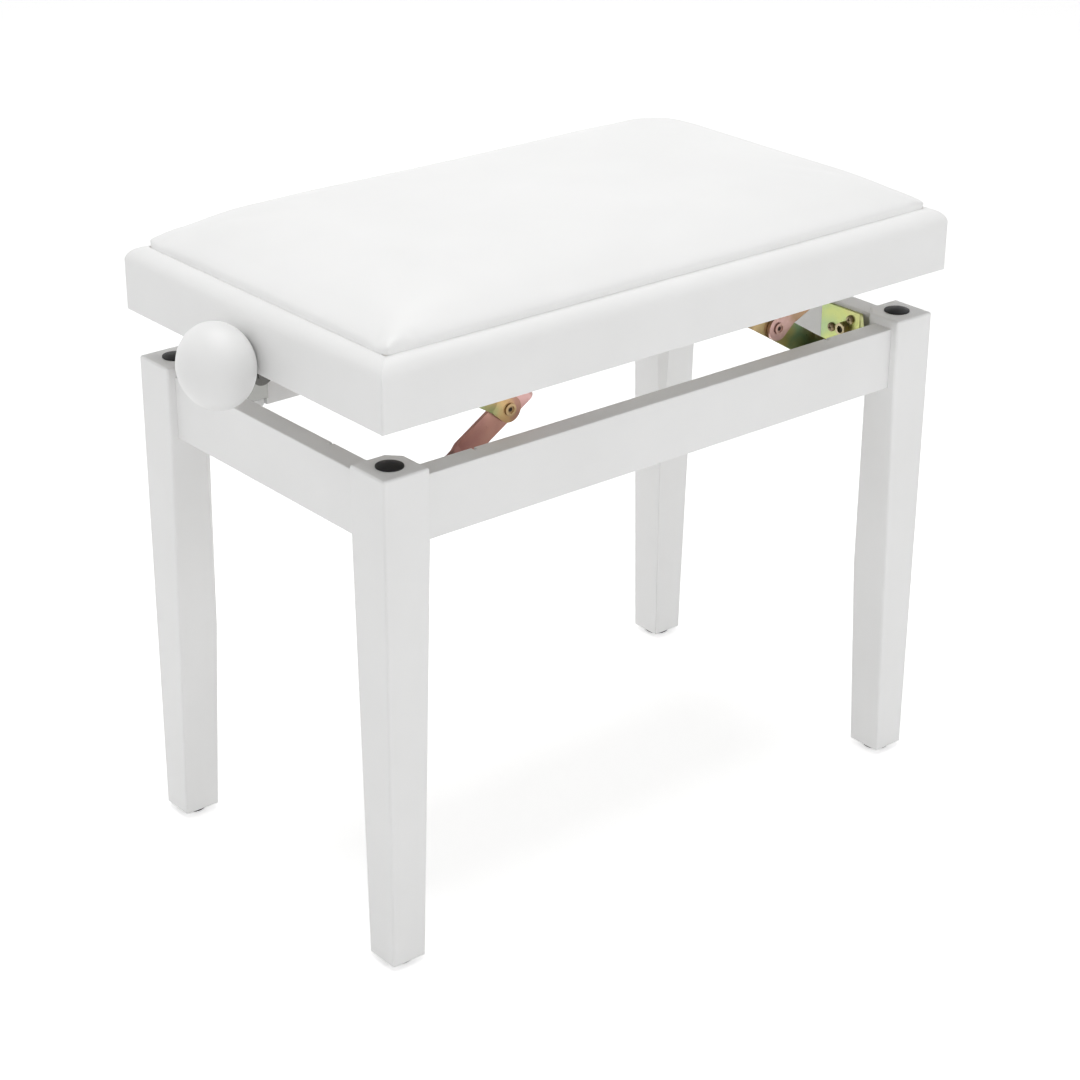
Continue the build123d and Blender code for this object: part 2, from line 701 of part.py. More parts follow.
# Board in the rebate of the rails, and the pad upholstered on it
board = block((-board_edge_x, board_edge_x), (-board_edge_y, board_edge_y), (board_bottom, rim_top))
for place, grip in [(place, sheet) for place in ear_screws] + [(block_screw, block_height)]:
    for corner in corners:
        board -= to_side(screw_hole(place, down, grip), *corner)
save(board, "seat_board")
pad_sections = [
    Pos(0, 0, rim_top)
    * RectangleRounded(2 * (board_edge_x - pad_tuck), 2 * (board_edge_y - pad_tuck), pad_corner_radius)
]
for step in range(pad_steps):
    level = sin(radians(90 * step / pad_steps))
    shrink = (1 - level**2) ** (1 / pad_squareness)
    corner_radius = pad_corner_radius + level * (pad_crown_corner_radius - pad_corner_radius)
    height = pad_edge_height + level * (pad_height - pad_edge_height)
    outline = RectangleRounded(2 * shrink * board_edge_x, 2 * shrink * board_edge_y, corner_radius)
    pad_sections.append(Pos(0, 0, rim_top + height) * outline)
save(loft(pad_sections, ruled=True), "cushion")

# Spindle: threaded over its length, with a plain end in each bearing and knob
shoulder_x = bearing_face_x - spindle_end_play
knob_inner_x = half_seat_x + knob_gap
knob_middle_x = half_seat_x + knob_standoff
spindle_end_x = knob_inner_x + knob_bore_depth
spindle = rod_x(spindle_z, spindle_radius, -shoulder_x, shoulder_x)
spindle += rod_x(spindle_z, spindle_end_radius, -spindle_end_x, spindle_end_x)
save(spindle, "spindle")

# Thrust collars inside the bearings, each held by a grub screw
collar_x = (shoulder_x - collar_length, shoulder_x)
collar = rod_x(spindle_z, collar_radius, *collar_x) - rod_x(spindle_z, spindle_bore_radius, *collar_x)
collar_middle_x = shoulder_x - collar_length / 2
collar -= rod_along(
    (collar_middle_x, 0, spindle_z), down, grub_radius + running_clearance, collar_radius
)
grub = rod_along(
    (collar_middle_x, 0, spindle_z - spindle_bore_radius), down, grub_radius,
    collar_radius - spindle_bore_radius - running_clearance,
)
save(group([to_side(collar, side_x, 1) for side_x in (-1, 1)]), "spindle_collars")
save(group([to_side(grub, side_x, 1) for side_x in (-1, 1)]), "collar_grub_screws")

# Knobs: flattened balls, turned from two radii that run into each other, with a flat face inside
rim_offset = knob_radius - knob_rim_radius
cap_radius = (knob_half_thickness**2 + rim_offset**2 - knob_rim_radius**2) / (
    2 * (knob_half_thickness - knob_rim_radius)
)
cap_depth = cap_radius - knob_half_thickness
cap_angle = atan2(rim_offset, cap_depth)
join_x = cap_radius * cos(cap_angle) - cap_depth
join_z = cap_radius * sin(cap_angle)
cap_middle = (cap_radius * cos(cap_angle / 2) - cap_depth, cap_radius * sin(cap_angle / 2))
cap_arc = ThreePointArc((join_x, join_z), cap_middle, (knob_half_thickness, 0))
rim_arc = ThreePointArc((-join_x, join_z), (0, knob_radius), (join_x, join_z))
axis_line = Line((-knob_half_thickness, 0), (knob_half_thickness, 0))
knob_profile = make_face([axis_line, mirror(cap_arc, about=Plane.YZ), rim_arc, cap_arc])
knob = Pos(knob_middle_x, 0, spindle_z) * revolve(Plane.XZ * knob_profile, Axis.X)
knob &= block(
    (knob_inner_x, knob_middle_x + knob_half_thickness), (-knob_radius, knob_radius),
    (spindle_z - knob_radius, spindle_z + knob_radius),
)
knob -= rod_x(spindle_z, bearing_hole_radius, knob_inner_x, spindle_end_x + side_gap)
for side_x in (-1, 1):
    save(to_side(knob, side_x, 1), f"knob_{name_x[side_x]}")
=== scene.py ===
import math

import bmesh
import bpy
from mathutils import Matrix, Vector


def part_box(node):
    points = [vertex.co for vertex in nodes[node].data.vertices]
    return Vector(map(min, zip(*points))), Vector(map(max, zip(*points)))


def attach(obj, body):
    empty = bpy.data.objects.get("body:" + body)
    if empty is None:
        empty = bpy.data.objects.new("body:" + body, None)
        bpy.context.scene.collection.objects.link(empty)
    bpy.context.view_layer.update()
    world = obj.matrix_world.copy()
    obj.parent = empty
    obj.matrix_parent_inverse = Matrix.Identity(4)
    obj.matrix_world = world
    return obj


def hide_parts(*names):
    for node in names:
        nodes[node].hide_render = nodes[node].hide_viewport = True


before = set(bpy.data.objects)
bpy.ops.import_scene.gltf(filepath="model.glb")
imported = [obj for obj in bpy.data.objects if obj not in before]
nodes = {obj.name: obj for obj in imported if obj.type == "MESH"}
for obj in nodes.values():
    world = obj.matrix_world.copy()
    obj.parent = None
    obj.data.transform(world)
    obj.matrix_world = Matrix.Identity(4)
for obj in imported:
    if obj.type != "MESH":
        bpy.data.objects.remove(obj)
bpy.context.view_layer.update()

# The studio: a pale floor under the bench, a low ring of pale panels round it and broad soft lamps
# overhead and in front. The ring sends light in under the seat to the far legs.
floor_size = 9.0
floor_color = (0.95, 0.95, 0.95, 1.0)
floor_glow = 0.5
panel_level = 1.42
sky_level = 0.14
panel_top = 0.32
panel_fade = 0.55
lamp_aim = Vector((0.0, 0.0, 0.38))
smooth_angle = math.radians(38)


def seen_white(tree):
    """1 for what the camera, a gloss or a clear surface looks at, 0 for light that falls on the bench."""
    rays = tree.nodes.new("ShaderNodeLightPath")
    seen = None
    for kind in ("Is Camera Ray", "Is Glossy Ray", "Is Transmission Ray"):
        if seen is None:
            seen = rays.outputs[kind]
            continue
        either = tree.nodes.new("ShaderNodeMath")
        either.operation = "MAXIMUM"
        tree.links.new(seen, either.inputs[0])
        tree.links.new(rays.outputs[kind], either.inputs[1])
        seen = either.outputs[0]
    return seen


def new_material(name):
    """A new material with its node tree and its shader."""
    material = bpy.data.materials.new(name)
    material.use_nodes = True
    return material, material.node_tree, material.node_tree.nodes["Principled BSDF"]


def piece_from(shape, name):
    """A new object at the origin that holds the finished bmesh, smooth but for its sharp edges."""
    mesh = bpy.data.meshes.new(name)
    shape.to_mesh(mesh)
    shape.free()
    mesh.shade_smooth()
    mesh.set_sharp_from_angle(angle=smooth_angle)
    piece = bpy.data.objects.new(name, mesh)
    bpy.context.scene.collection.objects.link(piece)
    return piece


floor_paper, tree, shader = new_material("floor_paper")
shader.inputs["Base Color"].default_value = floor_color
shader.inputs["Roughness"].default_value = 0.9
shader.inputs["Emission Color"].default_value = (1.0, 1.0, 1.0, 1.0)
glow = tree.nodes.new("ShaderNodeMath")
glow.operation = "MULTIPLY"
glow.inputs[1].default_value = floor_glow
tree.links.new(seen_white(tree), glow.inputs[0])
tree.links.new(glow.outputs[0], shader.inputs["Emission Strength"])
sheet = bmesh.new()
bmesh.ops.create_grid(sheet, x_segments=1, y_segments=1, size=floor_size / 2)
floor = piece_from(sheet, "studio_floor")
floor.data.materials.append(floor_paper)

world = bpy.data.worlds.new("studio_world")
bpy.context.scene.world = world
world.use_nodes = True
sky = world.node_tree.nodes["Background"]
sky.inputs["Color"].default_value = (1.0, 1.0, 1.0, 1.0)
height = world.node_tree.nodes.new("ShaderNodeSeparateXYZ")
around = world.node_tree.nodes.new("ShaderNodeTexCoord")
world.node_tree.links.new(around.outputs["Generated"], height.inputs["Vector"])
fill = world.node_tree.nodes.new("ShaderNodeMapRange")
fill.inputs["From Min"].default_value = panel_top
fill.inputs["From Max"].default_value = panel_fade
fill.inputs["To Min"].default_value = panel_level
fill.inputs["To Max"].default_value = sky_level
world.node_tree.links.new(height.outputs["Z"], fill.inputs["Value"])
level = world.node_tree.nodes.new("ShaderNodeMapRange")
level.inputs["To Max"].default_value = 1.0
world.node_tree.links.new(fill.outputs["Result"], level.inputs["To Min"])
world.node_tree.links.new(seen_white(world.node_tree), level.inputs["Value"])
world.node_tree.links.new(level.outputs["Result"], sky.inputs["Strength"])


def soft_lamp(name, place, size, watts):
    """A square lamp of that size, turned towards the middle of the bench."""
    lamp = bpy.data.lights.new(name, "AREA")
    lamp.size = size
    lamp.energy = watts
    holder = bpy.data.objects.new(name, lamp)
    holder.location = place
    aim = lamp_aim - Vector(place)
    holder.rotation_euler = aim.to_track_quat("-Z", "Y").to_euler()
    bpy.context.scene.collection.objects.link(holder)


soft_lamp("overhead_lamp", (0.0, 0.2, 2.6), 1.8, 34.0)
soft_lamp("front_lamp", (0.6, -2.6, 1.3), 1.8, 4.0)

# The camera stands where the photograph was taken from, to the left of the front and above the seat.
# A long lens, 2.2 metres away, keeps the uprights close to parallel.
eye = Vector((-1.1986, -1.4315, 1.0825))
turn = math.radians(39.84)
tilt = math.radians(24.84)
roll = math.radians(0.4)
camera_data = bpy.data.cameras.new("photo_camera")
camera_data.lens = 84.5
camera_data.sensor_width = 36.0
camera = bpy.data.objects.new("photo_camera", camera_data)
camera.matrix_world = (
    Matrix.Translation(eye)
    @ Matrix.Rotation(-turn, 4, "Z")
    @ Matrix.Rotation(math.radians(90) - tilt, 4, "X")
    @ Matrix.Rotation(roll, 4, "Z")
)
bpy.context.scene.collection.objects.link(camera)
bpy.context.scene.camera = camera
bpy.context.scene.view_settings.view_transform = "Standard"

# Legs: solid beech, planed to a taper on the two inner faces and sprayed white.
# The lacquer lies thick enough to hide the grain, with a faint sprayed texture left in it.
white_low = (0.830, 0.830, 0.824)
white_high = (0.865, 0.865, 0.860)
lacquer_edge = 0.0011


def finish_with(material, *names):
    """Give CAD nodes their material."""
    for name in names:
        nodes[name].data.materials.clear()
        nodes[name].data.materials.append(material)


def node(tree, kind, **values):
    """A shader node with the values of its sockets."""
    made = tree.nodes.new(kind)
    for name, value in values.items():
        made.inputs[name.replace("_", " ")].default_value = value
    return made


def object_place(tree, stretch=(1.0, 1.0, 1.0)):
    """Object coordinates, with each axis stretched by its share."""
    mapping = node(tree, "ShaderNodeMapping", Scale=stretch)
    tree.links.new(tree.nodes.new("ShaderNodeTexCoord").outputs["Object"], mapping.inputs["Vector"])
    return mapping.outputs["Vector"]


def noise(tree, place, scale, detail=3.0):
    """Noise from 0 to 1 with that many swells to the metre."""
    made = node(tree, "ShaderNodeTexNoise", Scale=scale, Detail=detail, Roughness=0.55)
    tree.links.new(place, made.inputs["Vector"])
    return made.outputs["Fac"]


def spread(tree, value, low, high, start=0.3, end=0.7):
    """The value carried from start..end to low..high."""
    made = node(tree, "ShaderNodeMapRange", From_Min=start, From_Max=end, To_Min=low, To_Max=high)
    tree.links.new(value, made.inputs["Value"])
    return made.outputs["Result"]


def tints(tree, value, *stops):
    """A colour ramp over the value, with its stops as (position, colour)."""
    made = tree.nodes.new("ShaderNodeValToRGB")
    band = made.color_ramp.elements
    while len(band) < len(stops):
        band.new(1.0)
    for stop, (position, color) in zip(band, stops):
        stop.position = position
        stop.color = (*color, 1.0)
    tree.links.new(value, made.inputs["Fac"])
    return made.outputs["Color"]


def bumped(tree, height, depth, strength, normal):
    """The surface normal, tilted by that height over the normal so far."""
    made = node(tree, "ShaderNodeBump", Strength=strength, Distance=depth)
    tree.links.new(height, made.inputs["Height"])
    tree.links.new(normal, made.inputs["Normal"])
    return made.outputs["Normal"]


def eased_edges(tree, radius):
    """The normal of a surface whose sharp edges are eased by a small radius."""
    made = node(tree, "ShaderNodeBevel", Radius=radius)
    made.samples = 4
    return made.outputs["Normal"]


def painted_wood(name, stretch, edge=lacquer_edge):
    """White lacquer over wood whose grain runs along the axis with the small stretch."""
    material, tree, shader = new_material(name)
    link = tree.links.new
    tone = noise(tree, object_place(tree), 9.0)
    link(tints(tree, tone, (0.3, white_low), (0.7, white_high)), shader.inputs["Base Color"])
    link(spread(tree, tone, 0.40, 0.52), shader.inputs["Roughness"])
    grain = noise(tree, object_place(tree, stretch), 55.0, 4.0)
    spray = noise(tree, object_place(tree), 620.0, 2.0)
    pores = bumped(tree, grain, 0.0004, 0.10, eased_edges(tree, edge))
    link(bumped(tree, spray, 0.0002, 0.10, pores), shader.inputs["Normal"])
    return material


paint_along_z = painted_wood("white_lacquer_legs", (1.0, 1.0, 0.06))
finish_with(paint_along_z, "leg_front_left", "leg_front_right", "leg_back_left", "leg_back_right")

# Bumpers: black rubber buttons pressed into the leg tops for the seat to land on.
# The rubber is matt, pitted from its mould and a little dusty.
black_rubber, tree, shader = new_material("black_rubber")
pits = noise(tree, object_place(tree), 260.0, 4.0)
dusty = tints(tree, pits, (0.35, (0.007, 0.007, 0.008)), (0.75, (0.018, 0.018, 0.019)))
tree.links.new(dusty, shader.inputs["Base Color"])
shader.inputs["Specular IOR Level"].default_value = 0.30
tree.links.new(spread(tree, pits, 0.42, 0.62), shader.inputs["Roughness"])
tree.links.new(bumped(tree, pits, 0.0002, 0.25, eased_edges(tree, 0.0004)), shader.inputs["Normal"])
finish_with(black_rubber, "leg_bumpers")

# Glides: black nylon pads nailed under the feet, scuffed on the floor.
# The scuffs show as paler, rougher patches.
black_nylon, tree, shader = new_material("black_nylon")
scuffs = noise(tree, object_place(tree), 420.0, 5.0)
worn = tints(tree, scuffs, (0.40, (0.020, 0.020, 0.021)), (0.72, (0.075, 0.074, 0.072)))
tree.links.new(worn, shader.inputs["Base Color"])
tree.links.new(spread(tree, scuffs, 0.34, 0.66), shader.inputs["Roughness"])
tree.links.new(bumped(tree, scuffs, 0.0002, 0.2, eased_edges(tree, 0.0005)), shader.inputs["Normal"])
finish_with(black_nylon, "foot_glides")

# Aprons: beech boards between the legs, glued into them and sprayed with them.
# The grain runs along each board.
paint_along_x = painted_wood("white_lacquer_long", (0.06, 1.0, 1.0))
paint_along_y = painted_wood("white_lacquer_short", (1.0, 0.06, 1.0))
finish_with(paint_along_x, "apron_front", "apron_back")
finish_with(paint_along_y, "apron_left", "apron_right")

# Corner brackets: steel sheet folded to fit the corner, with its ends hooked into the aprons.
# The zinc plating carries a chromate film that drifts through straw, green and yellow-green; towards the
# left it is a dark grey that is painted shade.
plate_edge = 0.0004


def passivated_zinc(name, reach, wander, patches, *stops):
    """Zinc plate under a chromate film whose tint changes along X, over +-reach, and drifts in patches."""
    material, tree, shader = new_material(name)
    link = tree.links.new
    place = object_place(tree)
    apart = tree.nodes.new("ShaderNodeSeparateXYZ")
    link(place, apart.inputs["Vector"])
    drift = noise(tree, place, patches, 2.0)
    film = tree.nodes.new("ShaderNodeMath")
    film.operation = "ADD"
    link(spread(tree, apart.outputs["X"], 0.0, 1.0, -reach, reach), film.inputs[0])
    link(spread(tree, drift, -wander, wander), film.inputs[1])
    link(tints(tree, film.outputs["Value"], *stops), shader.inputs["Base Color"])
    shader.inputs["Metallic"].default_value = 1.0
    speckle = noise(tree, place, 480.0, 4.0)
    link(spread(tree, speckle, 0.27, 0.43), shader.inputs["Roughness"])
    rolled = noise(tree, object_place(tree, (0.05, 0.05, 1.0)), 900.0, 2.0)
    skin = bumped(tree, rolled, 0.0001, 0.10, eased_edges(tree, plate_edge))
    link(bumped(tree, speckle, 0.0001, 0.12, skin), shader.inputs["Normal"])
    return material


corners = [f"{end}_{side}" for end in ("front", "back") for side in ("left", "right")]
bracket_shade_grey = (0.345, 0.345, 0.330)
yellow_green_film = (0.540, 0.580, 0.210)
green_film = (0.380, 0.490, 0.255)
straw_film = (0.560, 0.490, 0.300)
# Painted shade: the brackets, link brackets and bearing plates on the left are coloured dark grey for the
# shade they lie in.
bracket_zinc = passivated_zinc(
    "zinc_brackets", 0.30, 0.14, 26.0,
    (0.00, bracket_shade_grey), (0.34, bracket_shade_grey), (0.50, straw_film), (0.78, green_film),
    (0.88, yellow_green_film), (1.00, straw_film))
finish_with(bracket_zinc, *[f"corner_bracket_{corner}" for corner in corners])

# Bracket screws: pan-head wood screws in the same zinc, two through each flange into the apron.
# A cross is pressed into each head for the driver, and no two stand at the same turn.
screw_head_radius = 0.0038
screw_head_height = 0.0024
screw_shank_radius = 0.0020
screw_length = 0.014
cross_reach = 0.0019
cross_width = 0.0009
cross_depth = 0.0013


def turned(profile, steps):
    """A shape turned about Z from (radius, height) points."""
    shape = bmesh.new()
    line = [shape.verts.new((radius, 0.0, height)) for radius, height in profile]
    for start, end in zip(line, line[1:]):
        shape.edges.new((start, end))
    bmesh.ops.spin(shape, geom=shape.verts[:] + shape.edges[:], cent=(0.0, 0.0, 0.0), axis=(0.0, 0.0, 1.0),
                   angle=math.tau, steps=steps, use_merge=True)
    bmesh.ops.remove_doubles(shape, verts=shape.verts, dist=1e-6)
    return shape


def wood_screw():
    """A screw along Z, its head on top of the XY plane and its point below."""
    flat = 0.62 * screw_head_radius
    screw = turned(
        [(flat, screw_head_height), (0.84 * screw_head_radius, 0.86 * screw_head_height),
         (0.97 * screw_head_radius, 0.60 * screw_head_height), (screw_head_radius, 0.25 * screw_head_height),
         (screw_head_radius, 0.0), (screw_shank_radius, 0.0), (screw_shank_radius, -0.7 * screw_length),
         (0.0, -screw_length)], 24)
    rim = [edge for edge in screw.edges if edge.is_boundary]
    lift = Matrix.Translation((0.0, 0.0, screw_head_height))
    grid = bmesh.ops.create_grid(screw, x_segments=3, y_segments=3, size=1.5, matrix=lift)["verts"]
    for vert in grid:
        for axis in (0, 1):
            wide = cross_reach if abs(vert.co[axis]) > 1.0 else cross_width / 2
            vert.co[axis] = math.copysign(wide, vert.co[axis])
    outer = [vert for vert in grid if abs(vert.co.x) == abs(vert.co.y) and abs(vert.co.x) > cross_width]
    bmesh.ops.delete(screw, geom=outer, context="VERTS")
    cross = [face for face in screw.faces if all(vert in grid for vert in face.verts)]
    border = [edge for face in cross for edge in face.edges if edge.is_boundary]
    bmesh.ops.bridge_loops(screw, edges=rim + border)
    bmesh.ops.inset_region(screw, faces=cross, thickness=0.2 * cross_width, depth=-cross_depth)
    bmesh.ops.recalc_face_normals(screw, faces=screw.faces)
    return screw


def set_along(shape, places):
    """Copies of the shape at each (point, direction), its Z axis that way and each at its own turn."""
    first = shape.verts[:]
    pattern = first + shape.edges[:] + shape.faces[:]
    for count, (point, direction) in enumerate(places):
        made = bmesh.ops.duplicate(shape, geom=pattern)["geom"]
        verts = [part for part in made if isinstance(part, bmesh.types.BMVert)]
        aim = Vector(direction).to_track_quat("Z", "X").to_matrix().to_4x4()
        twist = Matrix.Rotation(0.83 * count, 4, "Z")
        bmesh.ops.transform(shape, matrix=Matrix.Translation(point) @ aim @ twist, verts=verts)
    bmesh.ops.delete(shape, geom=first, context="VERTS")
    return shape


def stand_for(piece, material, node_name, body):
    """Finish a new piece and put it in the place of the CAD node that it stands for."""
    piece.data.materials.append(material)
    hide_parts(node_name)
    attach(piece, body)


def each_corner(x, y, z, towards_x, towards_y, towards_z=0.0):
    """The same place and direction in all four corners, with both pointing to the middle."""
    return [((side * x, end * y, z), (-side * towards_x, -end * towards_y, towards_z))
            for side in (-1, 1) for end in (-1, 1)]


olive_film = (0.150, 0.140, 0.070)
bronze_film = (0.245, 0.185, 0.115)
fastener_zinc = passivated_zinc(
    "zinc_fasteners", 0.30, 0.30, 60.0,
    (0.0, bronze_film), (0.45, olive_film), (0.75, straw_film), (1.0, bronze_film))
short_face = 0.2456
short_flange_screws = ((0.0941, 0.3787), (0.0737, 0.3668))
long_face = 0.1290
long_flange_screws = ((0.2107, 0.3787), (0.2107, 0.3535))
places = [place for y, z in short_flange_screws for place in each_corner(short_face, y, z, 1.0, 0.0)]
places += [place for x, z in long_flange_screws for place in each_corner(x, long_face, z, 0.0, 1.0)]
bracket_screws = piece_from(set_along(wood_screw(), places), "bracket_screw_heads")
stand_for(bracket_screws, fastener_zinc, "bracket_screws", "base")

# Bracket studs: short steel studs in the end aprons, with a nut drawn up on each short flange.
# The nuts' corners are turned off, and the stud stops inside the nut.
stud_nut_width = 0.010
stud_nut_height = 0.006
stud_bore = 0.0030
stud_side = 0.0880
stud_level = 0.3700
stud_shade_dark = (0.030, 0.026, 0.020)
stud_shade_light = (0.055, 0.047, 0.034)


def hexagon_nut(width, height, bore):
    """A six-sided nut on the XY plane, its corners turned off and its hole round."""
    nut = bmesh.new()
    half = Matrix.Translation((0.0, 0.0, height / 2))
    bmesh.ops.create_cone(nut, cap_ends=False, segments=6, radius1=width / math.sqrt(3),
                          radius2=width / math.sqrt(3), depth=height, matrix=half)
    bmesh.ops.bevel(nut, geom=nut.verts[:], offset=0.10 * width, affect="VERTICES", segments=1, profile=0.5,
                    material=-1)
    rims = [edge for edge in nut.edges if edge.is_boundary]
    hole_rims = []
    for end in (0.0, height):
        ring = bmesh.ops.create_circle(nut, segments=24, radius=bore,
                                       matrix=Matrix.Translation((0.0, 0.0, end)))
        hole = list({edge for vert in ring["verts"] for edge in vert.link_edges})
        rim = [edge for edge in rims if all(abs(vert.co.z - end) < 1e-6 for vert in edge.verts)]
        bmesh.ops.bridge_loops(nut, edges=rim + hole)
        hole_rims += hole
    bmesh.ops.bridge_loops(nut, edges=hole_rims)
    bmesh.ops.recalc_face_normals(nut, faces=nut.faces)
    return nut


stud_nuts = piece_from(set_along(hexagon_nut(stud_nut_width, stud_nut_height, stud_bore),
                                 each_corner(short_face, stud_side, stud_level, 1.0, 0.0)),
                       "bracket_hexagon_nuts")
stand_for(stud_nuts, fastener_zinc, "bracket_stud_nuts", "base")
# Painted shade: the studs are coloured near-black to stand in for the shade under the seat.
shaded_stud_zinc = passivated_zinc("zinc_studs_painted_shade", 0.30, 0.20, 60.0, (0.0, stud_shade_dark), (1.0, stud_shade_light))
finish_with(shaded_stud_zinc, "bracket_studs")

# Hanger bolts: M8 bolts screwed into the legs, drawn tight on the brackets' webs by a washer and nut.
# Their ends stand well clear of the nuts, with the thread in sight.
bolt_radius = 0.0040
bolt_pitch = 0.00125
bolt_thread_depth = 0.0006
bolt_nut_width = 0.013
bolt_nut_height = 0.0065
web_point = Vector((0.23485, 0.11825, 0.3683))
nut_seat = 0.0041
bolt_in_leg = 0.030
bolt_end = 0.0245


def threaded_rod(radius, depth, pitch, start, end, hand):
    """A rod along Z from start to end, with a right-hand (1) or left-hand (-1) thread cut into it."""
    rod = bmesh.new()
    root = radius - depth
    flanks = [(radius, 0.0), (radius, 0.30), (root, 0.50), (root, 0.80), (radius, 1.0)]
    line = [rod.verts.new((out, 0.0, start + pitch * (along - 1.0))) for out, along in flanks]
    for low, high in zip(line, line[1:]):
        rod.edges.new((low, high))
    turns = math.ceil((end - start) / pitch) + 2
    steps = 18
    bmesh.ops.spin(rod, geom=rod.verts[:] + rod.edges[:], cent=(0.0, 0.0, 0.0), axis=(0.0, 0.0, 1.0),
                   dvec=(0.0, 0.0, pitch / steps), angle=hand * math.tau * turns, steps=steps * turns)
    bmesh.ops.remove_doubles(rod, verts=rod.verts, dist=1e-6)
    for height, way in ((start, -1.0), (end, 1.0)):
        bmesh.ops.bisect_plane(rod, geom=rod.verts[:] + rod.edges[:] + rod.faces[:],
                               plane_co=(0.0, 0.0, height), plane_no=(0.0, 0.0, way), clear_outer=True,
                               dist=1e-7)
    bmesh.ops.holes_fill(rod, edges=[edge for edge in rod.edges if edge.is_boundary])
    bmesh.ops.recalc_face_normals(rod, faces=rod.faces)
    return rod


bolts = threaded_rod(bolt_radius, bolt_thread_depth, bolt_pitch, -bolt_in_leg, bolt_end, 1)
hanger_bolts = piece_from(set_along(bolts, each_corner(*web_point, 1.0, 1.0)), "hanger_bolt_threads")
stand_for(hanger_bolts, fastener_zinc, "hanger_bolts", "base")
nuts = hexagon_nut(bolt_nut_width, bolt_nut_height, bolt_radius)
inward = nut_seat / math.sqrt(2)
hanger_nuts = piece_from(
    set_along(nuts, each_corner(web_point.x - inward, web_point.y - inward, web_point.z, 1.0, 1.0)),
    "hanger_hexagon_nuts")
stand_for(hanger_nuts, fastener_zinc, "hanger_bolt_nuts", "base")
finish_with(fastener_zinc, "hanger_bolt_washers")

# Arms: bars blanked from 3 mm steel, bent at the foot and at the top, four to a bench.
# Their zinc runs from mauve and pink on the left to olive and green on the right, with dark grey painted
# shade at the left arms' feet.
shade_grey_film = (0.120, 0.118, 0.112)
mauve_film = (0.520, 0.270, 0.245)
rose_film = (0.640, 0.355, 0.290)
pink_film = (0.760, 0.480, 0.470)
moss_film = (0.190, 0.280, 0.150)
umber_film = (0.170, 0.110, 0.055)
khaki_film = (0.340, 0.310, 0.110)
# Painted shade: the dark grey at the left feet reaches further along the back arms, which lie deeper under
# the seat.
for end, shade_reach in (("front", 0.02), ("back", 0.045)):
    arm_zinc = passivated_zinc(
        f"zinc_arms_painted_shade_{end}", 0.20, 0.03, 45.0,
        (0.00, shade_grey_film), (shade_reach, shade_grey_film), (shade_reach + 0.03, mauve_film), (0.12, rose_film),
        (0.25, pink_film), (0.60, rose_film), (0.87, khaki_film), (0.92, moss_film), (0.98, umber_film))
    finish_with(arm_zinc, f"left_arm_{end}", f"right_arm_{end}")

# Arm studs and cross shafts: turned pins in zinc that hold the arms and links, with their heads spread.
# The shafts' ends are drilled for the spreading, and the holes are coloured near-black as painted shade.
gold_film = (0.520, 0.370, 0.200)
blush_film = (0.520, 0.340, 0.290)
shaft_place = (0.134733, 0.0, 0.404429)
drilled_radius = 0.0029
hole_painted_shade = (0.035, 0.024, 0.018)
# Painted shade: the pins at the far left, the left arm studs and link rivets, are coloured dark grey for the
# shade they sit in.
pivot_zinc = passivated_zinc(
    "zinc_pivots", 0.20, 0.02, 70.0,
    (0.00, shade_grey_film), (0.06, shade_grey_film), (0.12, gold_film), (0.40, gold_film), (0.70, blush_film),
    (1.00, blush_film))
finish_with(pivot_zinc, "arm_pivot_studs")
drilled_zinc = pivot_zinc.copy()
drilled_zinc.name = "zinc_shafts_painted_hole_shade"
tree = drilled_zinc.node_tree
offset = object_place(tree)
across_shaft = (1.0, 0.0, 1.0)
for step, amount in (("ABSOLUTE", None), ("SUBTRACT", shaft_place), ("MULTIPLY", across_shaft),
                     ("LENGTH", None)):
    part = tree.nodes.new("ShaderNodeVectorMath")
    part.operation = step
    tree.links.new(offset, part.inputs[0])
    if amount:
        part.inputs[1].default_value = amount
    offset = part.outputs["Value"] if step == "LENGTH" else part.outputs["Vector"]
# Painted shade: inside the drilled radius the film is mixed to near-black, standing in for the shade in the
# holes.
hole_shade_mix = tree.nodes.new("ShaderNodeMix")
hole_shade_mix.data_type = "RGBA"
color_in = tree.nodes["Principled BSDF"].inputs["Base Color"]
film = color_in.links[0].from_socket
hole_shade_mask = spread(tree, offset, 1.0, 0.0, 0.45 * drilled_radius, 0.85 * drilled_radius)
tree.links.new(hole_shade_mask, hole_shade_mix.inputs["Factor"])
tree.links.new(film, hole_shade_mix.inputs["A"])
hole_shade_mix.inputs["B"].default_value = (*hole_painted_shade, 1.0)
tree.links.new(hole_shade_mix.outputs["Result"], color_in)
finish_with(drilled_zinc, "left_cross_shaft", "right_cross_shaft")

# Spacer tubes: drawn steel tube on each cross shaft, which keeps the front and back arms apart.
# The steel is bare, with fine lines along it from the die.
steel_low = (0.440, 0.440, 0.450)
steel_high = (0.600, 0.600, 0.605)


def drawn_steel(name, stretch):
    """Bare bright steel with fine lines along the axis with the small stretch."""
    material, tree, shader = new_material(name)
    link = tree.links.new
    lines = noise(tree, object_place(tree, stretch), 700.0, 3.0)
    stains = noise(tree, object_place(tree), 40.0, 3.0)
    link(tints(tree, stains, (0.32, steel_low), (0.68, steel_high)), shader.inputs["Base Color"])
    shader.inputs["Metallic"].default_value = 1.0
    link(spread(tree, lines, 0.22, 0.40), shader.inputs["Roughness"])
    link(bumped(tree, lines, 0.0001, 0.15, eased_edges(tree, plate_edge)), shader.inputs["Normal"])
    return material


steel_along_y = drawn_steel("bright_steel_cross", (1.0, 0.04, 1.0))
finish_with(steel_along_y, "left_spacer_tube", "right_spacer_tube")

